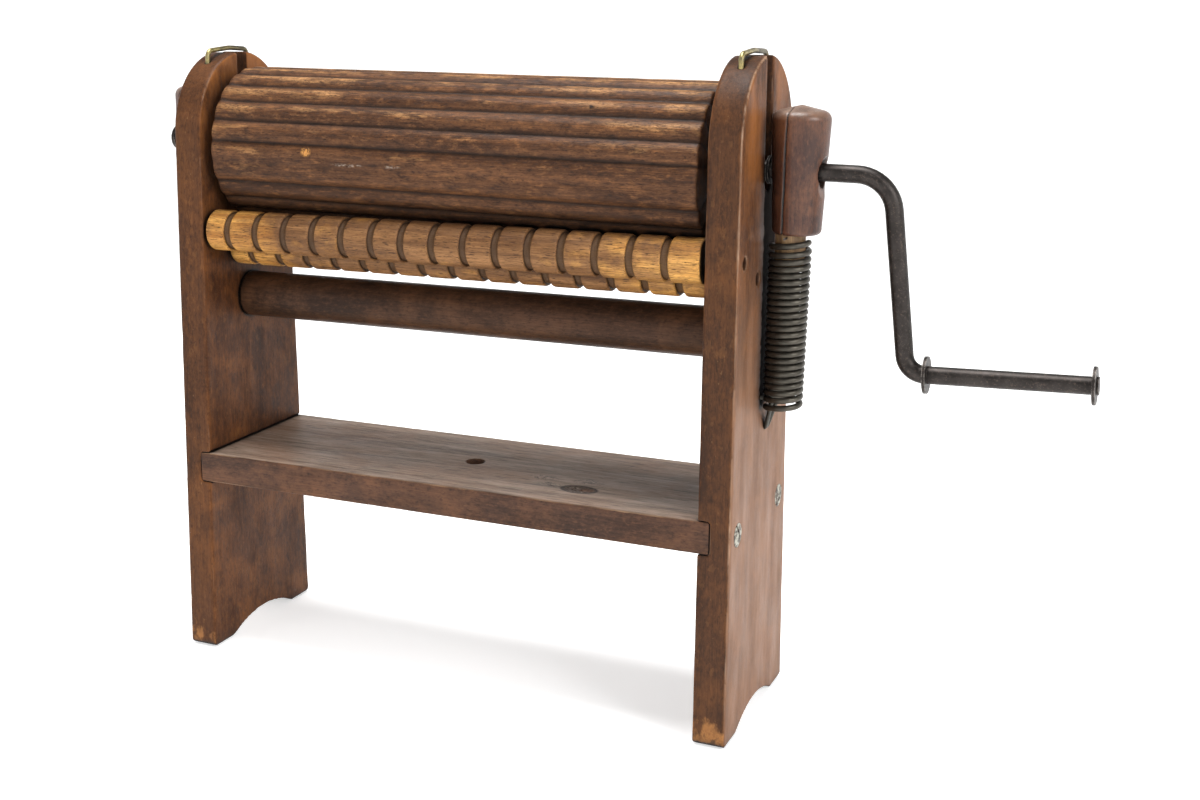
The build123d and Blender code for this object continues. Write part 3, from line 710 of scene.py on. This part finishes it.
def wire(name, line, radius):
    """A round wire through closely spaced points, with domed ends."""
    line = np.asarray(line, float)
    ahead = np.gradient(line, axis=0)
    ahead /= np.linalg.norm(ahead, axis=1)[:, None]
    side = np.cross(ahead, (0.0, 0.0, 1.0))
    weak = np.linalg.norm(side, axis=1) < 0.2
    side[weak] = np.cross(ahead[weak], (0.0, 1.0, 0.0))
    side /= np.linalg.norm(side, axis=1)[:, None]
    up = np.cross(side, ahead)
    turns = np.arange(WIRE_SIDES) * 2 * math.pi / WIRE_SIDES
    rings = [line[i] + radius * (np.outer(np.cos(turns), side[i]) + np.outer(np.sin(turns), up[i]))
             for i in range(len(line))]
    first = [line[0] - ahead[0] * radius * d + (ring - line[0]) * w
             for d, w, ring in ((0.95, 0.3, rings[0]), (0.7, 0.7, rings[0]))]
    last = [line[-1] + ahead[-1] * radius * d + (ring - line[-1]) * w
            for d, w, ring in ((0.7, 0.7, rings[-1]), (0.95, 0.3, rings[-1]))]
    return skin(name, first + rings + last)


# ---- Carved pieces ----

AXLE_LEAN = math.radians(0.95)
SHELF_MIDDLE = middle("shelf")
LEFT_BOARD_MIDDLE = middle("left_end_board")
RIGHT_BOARD_MIDDLE = middle("right_end_board")
BOARD_HALF_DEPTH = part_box("right_end_board")[1].y
BOARD_HALF_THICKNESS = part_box("right_end_board")[1].x - RIGHT_BOARD_MIDDLE.x
BAND_HALF = 7.5 * MM
REFLECTION_TOP = 330 * MM
REFLECTION_REACH = 100 * MM
FOOT_WEAR = 26 * MM
FOOT_ROUND_ALONG = 7 * MM
FOOT_ROUND_ACROSS = 4 * MM
GREASE_SHADOW_REACH = 13 * MM
GREASE_SHADOW_SHIFT = 7 * MM
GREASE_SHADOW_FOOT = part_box("right_spring")[0].z + 2 * MM
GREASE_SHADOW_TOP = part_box("right_bearing_block")[0].z + 34 * MM
CRACK_DEPTH = 1.3 * MM
HOLLOW_DROP = 9 * MM
HOLLOW_RADIUS = 8 * MM
HOLLOW_DEPTH = 1.9 * MM
KNOT = SHELF_MIDDLE + Vector((93.5 * MM, -31 * MM, 0))


def on_right(place):
    """Whether a place is on the crank's side."""
    return place[0] > SHELF_MIDDLE.x


def off_board_middle(place):
    """How far a place is from the middle of its board's thickness."""
    return abs(place[0] - (RIGHT_BOARD_MIDDLE if on_right(place) else LEFT_BOARD_MIDDLE).x)


def outward(place, normal):
    """1 on a board's outer face, -1 on its inner one."""
    return normal[0] if on_right(place) else -normal[0]


def arris(place, normal):
    """How rubbed a board's long edges are: most on the right-hand board's front outer one, 0 on faces."""
    rubbed = 0.55 + 1.1 * place[2] if place[0] > RIGHT_BOARD_MIDDLE.x and place[1] < 0 else 0.45
    worn = rubbed + 0.5 * wobble(place[0] * 30, place[1] * 25, place[2] * 25)
    return 1.4 * worn * min(abs(normal[0]), math.hypot(normal[1], normal[2]))


def long_arris(place, normal):
    """The same for a piece whose length runs along X."""
    worn = 1.0 + 0.8 * wobble(place[0] * 22, place[1] * 30, place[2] * 30)
    return worn * min(abs(normal[1]), abs(normal[2])) * math.hypot(normal[1], normal[2])


def band(place, normal):
    """1 along the middle of a board's narrow edges."""
    off = off_board_middle(place) / BAND_HALF
    return max(0.0, 1 - off ** 2) if abs(normal[0]) < 0.3 else 0.0


def pale_reflection(place, normal):
    """A painted reflection of the pale floor, stronger low down on the boards' outer faces."""
    share = min(1.0, max(0.0, (REFLECTION_TOP - place[2]) / REFLECTION_REACH))
    return share * 0.8 if outward(place, normal) > 0.7 else 0.0


def edge_shade(place, normal):
    """How dark the painted shade on the boards' front and back edges is: the right-hand board's are the darker
    ones.
    """
    share = 1.0 if on_right(place) else 0.6
    return share * (1.0 - min(1.0, 1.6 * abs(normal[0])))


def grease_and_shadow(place, normal):
    """Black grease and painted shadow on the boards' outer faces, behind the springs and the feet of the sliding
    blocks.
    """
    if outward(place, normal) < 0.5 or not GREASE_SHADOW_FOOT < place[2] < GREASE_SHADOW_TOP:
        return 0.0
    ragged = 0.6 * MM * wobble(0.3, place[1] * 80, place[2] * 50)
    return min(1.0, max(0.0, (GREASE_SHADOW_REACH - abs(place[1] - GREASE_SHADOW_SHIFT) + ragged) / (1.5 * MM)))


def foot_wear(place, normal):
    """1 at the very foot of the boards' front edges, where the varnish has been knocked off."""
    if place[1] >= 0 or abs(normal[0]) >= 0.8:
        return 0.0
    return (1.0 if on_right(place) else 0.55) * max(0.0, 1 - place[2] / FOOT_WEAR)


def round_corner(outside, height, radius):
    """The cut that rounds the corner between a face, outside it by that much, and the floor."""
    out = outside + radius
    down = radius - height
    return max(0.0, math.hypot(out, down) - radius) if out > 0 and down > 0 else 0.0


def foot_corner(place):
    """How deep to cut so that a foot's bottom corners are round."""
    along = round_corner(abs(place[1]) - BOARD_HALF_DEPTH, place[2], FOOT_ROUND_ALONG)
    across = round_corner(off_board_middle(place) - BOARD_HALF_THICKNESS, place[2], FOOT_ROUND_ACROSS)
    return max(along, across)


def board_carve(place, normal):
    """Shallow waves, a few dents and round feet."""
    x, y, z = place
    wave = 0.05 * MM * (1 + wobble(x * 20, y * 18, z * 9))
    dent = 0.9 * MM * max(0.0, wobble(x * 60, y * 60 + 5, z * 45) - 0.55)
    nibble = 1.2 * MM * max(0.0, wobble(x * 110, y * 110, z * 70 + 9) - 0.25) * arris(place, normal)
    return wave + dent + nibble + foot_corner(place)


def knot(place, normal):
    """1 in the middle of the shelf's knot, which is an oval along the grain."""
    off = math.hypot((place[0] - KNOT.x) / (14.5 * MM), (place[1] - KNOT.y) / (9.0 * MM))
    return max(0.0, 1 - off) if normal[2] > 0.7 else 0.0


def knot_heart(place, normal):
    """The reddish patch at the knot's right end."""
    off = math.hypot((place[0] - KNOT.x - 6 * MM) / (7 * MM), (place[1] - KNOT.y - 1 * MM) / (4 * MM))
    return max(0.0, 1 - off) if normal[2] > 0.7 else 0.0


def splits(place, normal):
    """Fine splits in the shelf's top, behind and to the left of the knot."""
    x, y = place[0] - KNOT.x, place[1] - KNOT.y
    off = min(math.hypot((x - shift_x * MM) / (15 * MM), (y - shift_y * MM) / (8 * MM))
              for shift_x, shift_y in ((-33, 16), (-1, 18), (-22, 2)))
    return max(0.0, 1 - off) if normal[2] > 0.7 else 0.0


def shelf_carve(place, normal):
    """Shallow waves, the pitted knot and nibbled long edges."""
    x, y, z = place
    wave = 0.05 * MM * (1 + wobble(x * 9, y * 25, z * 20))
    pit = 1.2 * MM * knot(place, normal) * (1 + 0.9 * wobble(x * 500, y * 500, 1))
    nibble = 0.8 * MM * max(0.0, wobble(x * 90, y * 110, z * 90 + 2) - 0.2) * long_arris(place, normal)
    return wave + pit + nibble


def stretcher_carve(place, normal):
    """Turned a little unevenly."""
    x, y, z = place
    return 0.12 * MM * (1 + wobble(x * 24, y * 40, z * 40))


def crack_of(side):
    """The mark of the long drying crack on a block's front: 1 in its middle."""
    centre = middle(f"{side}_bearing_block")
    low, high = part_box(f"{side}_bearing_block")

    def crack(place, normal):
        x, y, z = place
        share = (z - low.z) / (high.z - low.z)
        line = centre.x - (4.5 + 3.0 * (1 - share)) * MM + 0.6 * MM * wobble(0.5, 2.5, z * 60)
        width = (0.45 + 0.55 * max(0.0, 1 - abs(share - 0.35) / 0.6)) * MM
        return max(0.0, 1 - abs(x - line) / width) if y < centre.y - 3 * MM else 0.0

    return crack


def crown_of(side):
    """The mark of a block's top, where a highlight is painted: 1 at its highest, 0 from its shoulder down."""
    _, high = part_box(f"{side}_bearing_block")

    def crown(place, normal):
        return min(1.0, max(0.0, 1 - (high.z - place[2]) / (9 * MM)))

    return crown


def block_carve(side):
    """Light hand marks, the crack, and a hollow worn below the axle's mouth."""
    crack = crack_of(side)
    centre = middle(f"{side}_bearing_block")
    axle = middle("fluted_drum").z - (centre.x - middle("fluted_drum").x) * math.tan(AXLE_LEAN)

    def carve(place, normal):
        x, y, z = place
        off = math.hypot(y - centre.y, z - axle + HOLLOW_DROP) / HOLLOW_RADIUS
        hollow = max(0.0, 1 - off ** 2) if abs(x - centre.x) > 8 * MM else 0.0
        marks = 0.06 * MM * (1 + wobble(x * 60, y * 60, z * 30))
        return marks + CRACK_DEPTH * crack(place, normal) + HOLLOW_DEPTH * hollow * abs(normal[0])

    return carve


# ---- Build the pieces ----

# The cells of the remeshed copies
BOARD_VOXEL = 1.2 * MM
SHELF_VOXEL = 1.1 * MM
STRETCHER_VOXEL = 1.3 * MM
BLOCK_VOXEL = 0.6 * MM


def build_frame():
    """The end boards, the shelf and the stretcher."""
    board_finish = board_wood()
    board_marks = {
        "arris": arris,
        "band": band,
        "pale_reflection": pale_reflection,
        "edge_shade": edge_shade,
        "grease_and_shadow": grease_and_shadow,
        "foot": foot_wear,
    }
    for side in ("left", "right"):
        node = f"{side}_end_board"
        board = carved_copy(f"worn_{node}", node, BOARD_VOXEL, board_carve, 0.3, board_marks)
        stand_for(board, node, board_finish)
    shelf_marks = {"arris": long_arris, "knot": knot, "knot_heart": knot_heart, "splits": splits}
    shelf = carved_copy("worn_shelf", "shelf", SHELF_VOXEL, shelf_carve, 0.35, shelf_marks)
    stand_for(shelf, "shelf", shelf_wood())
    bar = carved_copy("worn_stretcher", "stretcher", STRETCHER_VOXEL, stretcher_carve, 0.5)
    stand_for(bar, "stretcher", stretcher_wood())


def build_rollers():
    """The drum and its bed."""
    stand_for(drum(), "fluted_drum", drum_wood())
    turned = roller_wood()
    for number in range(1, 5):
        stand_for(bed_roller(number), f"ringed_roller_{number}", turned)


def build_carriage():
    """The blocks, and the springs and hooks that hold them down."""
    block_finish = block_wood()
    spring_finish = dark_iron("spring_steel", (0.052, 0.047, 0.038, 1), (0.046, 0.029, 0.018, 1), 0.32)
    hook_finish = dark_iron("hook_iron", (0.045, 0.043, 0.036, 1), (0.050, 0.032, 0.020, 1), 0.40)
    for side in ("left", "right"):
        node = f"{side}_bearing_block"
        marks = {"crack": crack_of(side), "crown": crown_of(side)}
        block = carved_copy(f"cracked_{side}_block", node, BLOCK_VOXEL, block_carve(side), 0.5, marks)
        stand_for(block, node, block_finish)
        stand_for(hook(side), f"{side}_spring_staple", hook_finish)
        coil = spring(side)
        coil.data.materials.append(spring_finish)
        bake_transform(coil)
        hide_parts(f"{side}_spring")


def finish_cad_nodes():
    """Finishes for the CAD nodes that stay as they are."""
    finishes = {
        "rod_iron": dark_iron("rod_iron", (0.027, 0.023, 0.021, 1), (0.075, 0.046, 0.032, 1)),
        "fastening_iron": dark_iron("small_iron", (0.060, 0.050, 0.042, 1), (0.10, 0.055, 0.03, 1), 0.45),
        "keeper_brass": tarnished_brass(),
        "peg_wood": bare_wood(),
    }
    greasy = dark_iron("greasy_iron", (0.010, 0.009, 0.008, 1), (0.018, 0.011, 0.008, 1), 0.60)
    screws = painted_screw()
    for node, piece in frame["nodes"].items():
        if piece.hide_render:
            continue
        material = finishes[SLOTS[node]]
        if node.endswith("shelf_screws"):
            material = screws
        elif node.endswith("thrust_washer"):
            material = greasy
        piece.data.materials.clear()
        piece.data.materials.append(material)


# ---- Stage, light and camera ----

FLOOR_RADIUS = 3.0
FLOOR_BEND = 1.2
FLOOR_STEPS = 96
WALL_TOP = 2.0
FLOOR_GLOW = 0.52
WORLD_LIGHT = 0.16
LIGHTS_TARGET = (-0.05, 0.0, 0.25)

EYE = Vector((0.41125, -0.98472, 0.47682))
EYE_TARGET = Vector((-0.07812, 0.0, 0.24478))
EYE_ROLL = math.radians(-0.61)
LENS = 47.9

def stage():
    """A round white floor that curves up all round the machine, faintly self-lit so that it stays white."""
    bends = np.linspace(0, math.pi / 2, 16)
    profile = [(FLOOR_RADIUS + FLOOR_BEND * math.sin(bend), FLOOR_BEND * (1 - math.cos(bend)))
               for bend in bends]
    profile.append((FLOOR_RADIUS + FLOOR_BEND, WALL_TOP))
    corners = [(0.0, 0.0, 0.0)]
    turns = np.arange(FLOOR_STEPS) * 2 * math.pi / FLOOR_STEPS
    for reach, height in profile:
        corners += [(reach * math.cos(turn), reach * math.sin(turn), height) for turn in turns]
    faces = [(0, 1 + step, 1 + (step + 1) % FLOOR_STEPS) for step in range(FLOOR_STEPS)]
    for ring in range(len(profile) - 1):
        inner = 1 + ring * FLOOR_STEPS
        outer = inner + FLOOR_STEPS
        for step in range(FLOOR_STEPS):
            after = (step + 1) % FLOOR_STEPS
            faces.append((inner + step, outer + step, outer + after, inner + after))
    mesh = bpy.data.meshes.new("floor")
    mesh.from_pydata(corners, [], faces)
    smooth(mesh)
    floor = link("floor", mesh)
    f = Finish("floor_white")
    tint = f.noise(f.place, 3.0, 2.0)
    f.shader.inputs["Emission Color"].default_value = (1, 1, 1, 1)
    f.shader.inputs["Emission Strength"].default_value = FLOOR_GLOW
    floor.data.materials.append(f.finish(f.mix(tint, (0.86, 0.86, 0.86, 1), (0.88, 0.88, 0.88, 1)), 0.9))


def area_light(name, place, size, power):
    """A round soft light aimed at the machine."""
    data = bpy.data.lights.new(name, "AREA")
    data.shape = "DISK"
    data.size = size
    data.energy = power
    lamp = bpy.data.objects.new(name, data)
    lamp.location = place
    aim = Vector(LIGHTS_TARGET) - Vector(place)
    lamp.rotation_euler = aim.to_track_quat("-Z", "Y").to_euler()
    bpy.context.scene.collection.objects.link(lamp)


def lights():
    """An even white world, a strong light at the right, one overhead and a weak one in front."""
    world = bpy.data.worlds.new("studio")
    bpy.context.scene.world = world
    world.use_nodes = True
    background = world.node_tree.nodes["Background"]
    background.inputs["Color"].default_value = (1.0, 1.0, 1.0, 1)
    background.inputs["Strength"].default_value = WORLD_LIGHT
    area_light("key", (2.2, -0.9, 1.5), size=1.2, power=44)
    area_light("top", (-0.2, 0.0, 2.3), size=1.2, power=67)
    area_light("front", (-1.2, -2.4, 1.3), size=1.5, power=5)


def camera():
    """Slightly above the machine, to the right of its front."""
    data = bpy.data.cameras.new("camera")
    data.sensor_width = 36.0
    data.lens = LENS
    data.shift_x = 0.1005
    data.shift_y = -0.0549
    data.clip_end = 50.0
    eye = bpy.data.objects.new("camera", data)
    turn = (EYE_TARGET - EYE).to_track_quat("-Z", "Y").to_matrix()
    roll = Matrix.Rotation(EYE_ROLL, 3, "Z")
    eye.matrix_world = Matrix.Translation(EYE) @ (turn @ roll).to_4x4()
    bpy.context.scene.collection.objects.link(eye)
    bpy.context.scene.camera = eye


build_frame()
build_rollers()
build_carriage()
finish_cad_nodes()
stage()
lights()
camera()
view = bpy.context.scene.view_settings
view.view_transform = "Standard"
view.look = "None"
